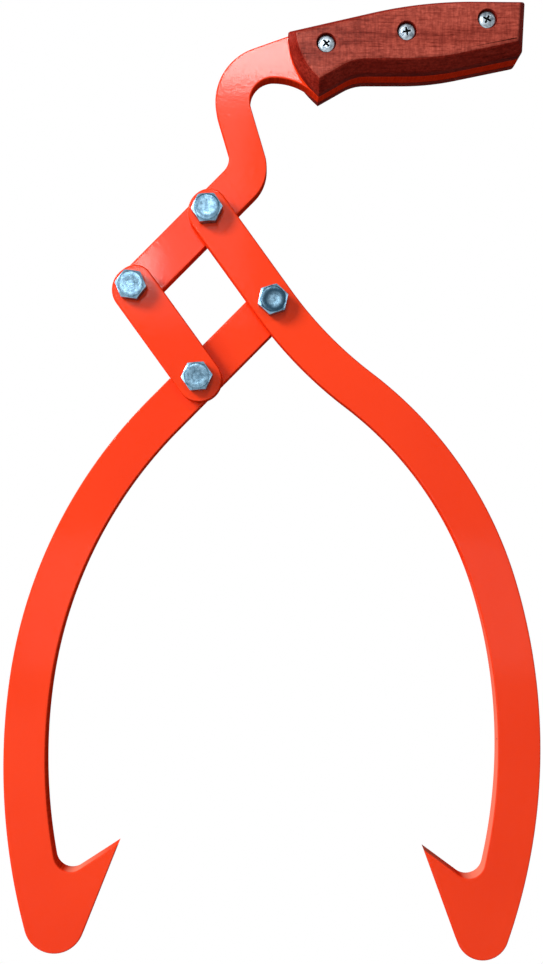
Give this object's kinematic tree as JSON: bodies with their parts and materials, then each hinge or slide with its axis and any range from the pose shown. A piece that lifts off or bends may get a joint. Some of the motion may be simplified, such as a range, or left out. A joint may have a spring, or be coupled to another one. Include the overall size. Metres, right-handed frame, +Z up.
{
  "type": "skidding tongs",
  "caption": "Hand tongs for dragging logs: two curved hooked flat-bar tines on a bolted parallelogram linkage below a saw-type wooden grip",
  "frame": {"origin": "middle of the grip: the axis of its middle screw, at the middle of the handle bar's thickness", "axes": "+Z up towards the grip's top edge, +X along the grip to its rear end, -Y the front, where the bolt heads are"},
  "size_m": [0.2985, 0.0364, 0.5303],
  "materials": {
    "orange_paint": "gloss orange-red paint",
    "red_wood": "satin reddish-brown hardwood",
    "bright_screw": "bright nickel plate",
    "zinc_bolt": "bluish bright zinc plate",
    "zinc_nut": "bluish bright zinc plate",
    "nylon": "blue nylon"
  },
  "bodies": {
    "handle": {"handle_bar": "orange_paint", "grip_scale_front": "red_wood", "grip_scale_back": "red_wood", "grip_screw_front": "bright_screw", "grip_screw_middle": "bright_screw", "grip_screw_rear": "bright_screw", "sleeve_nut_front": "bright_screw", "sleeve_nut_middle": "bright_screw", "sleeve_nut_rear": "bright_screw", "bolt_top": "zinc_bolt", "washer_top": "zinc_nut", "lock_nut_top": "zinc_nut", "nylon_ring_top": "nylon", "bolt_left": "zinc_bolt", "washer_left": "zinc_nut", "lock_nut_left": "zinc_nut", "nylon_ring_left": "nylon"},
    "right_tine": {"right_tine": "orange_paint"},
    "link": {"link": "orange_paint"},
    "left_tine": {"left_tine": "orange_paint", "bolt_right": "zinc_bolt", "washer_right": "zinc_nut", "lock_nut_right": "zinc_nut", "nylon_ring_right": "nylon", "bolt_bottom": "zinc_bolt", "washer_bottom": "zinc_nut", "lock_nut_bottom": "zinc_nut", "nylon_ring_bottom": "nylon"}
  },
  "joints": [
    {"name": "right_tine_pivot", "type": "hinge", "parent": "handle", "child": "right_tine", "pos_m": [-0.1092, 0, -0.0969], "axis": [0, -1, 0], "range_deg": [-54, 68]},
    {"name": "link_pivot", "type": "hinge", "parent": "handle", "child": "link", "pos_m": [-0.15077, 0, -0.13876], "axis": [0, -1, 0], "range_deg": [-54, 68]},
    {"name": "left_tine_pivot", "type": "hinge", "parent": "right_tine", "child": "left_tine", "pos_m": [-0.07317, 0, -0.14686], "axis": [0, -1, 0], "range_deg": [-68, 54]}
  ],
  "couplings": [
    {"joint": "link_pivot", "follows": "right_tine_pivot", "ratio": 1},
    {"joint": "left_tine_pivot", "follows": "right_tine_pivot", "ratio": -1}
  ]
}
